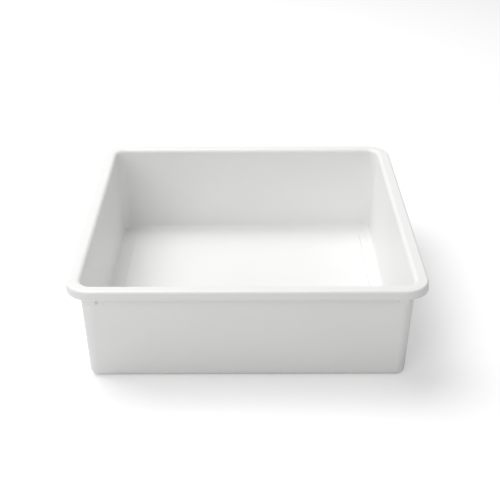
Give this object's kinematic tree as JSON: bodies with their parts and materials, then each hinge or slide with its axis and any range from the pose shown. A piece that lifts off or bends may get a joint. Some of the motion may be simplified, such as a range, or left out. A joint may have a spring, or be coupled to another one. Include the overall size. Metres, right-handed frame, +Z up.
{
  "type": "refrigerator storage tray",
  "caption": "Open rectangular refrigerator storage tray with leaning walls, rounded corners and a flanged rim whose turned-down skirt is braced by gussets.",
  "frame": {"origin": "middle of the resting face, at the level of the foot ring", "axes": "+Z up out of the mouth, +X to the right and +Y to the back, along the longer side"},
  "size_m": [0.35, 0.36, 0.108],
  "materials": {
    "white_plastic": "white moulded polypropylene with a fine satin grain, smoother on the rim"
  },
  "bodies": {
    "root": {"tray": "white_plastic"}
  },
  "joints": []
}
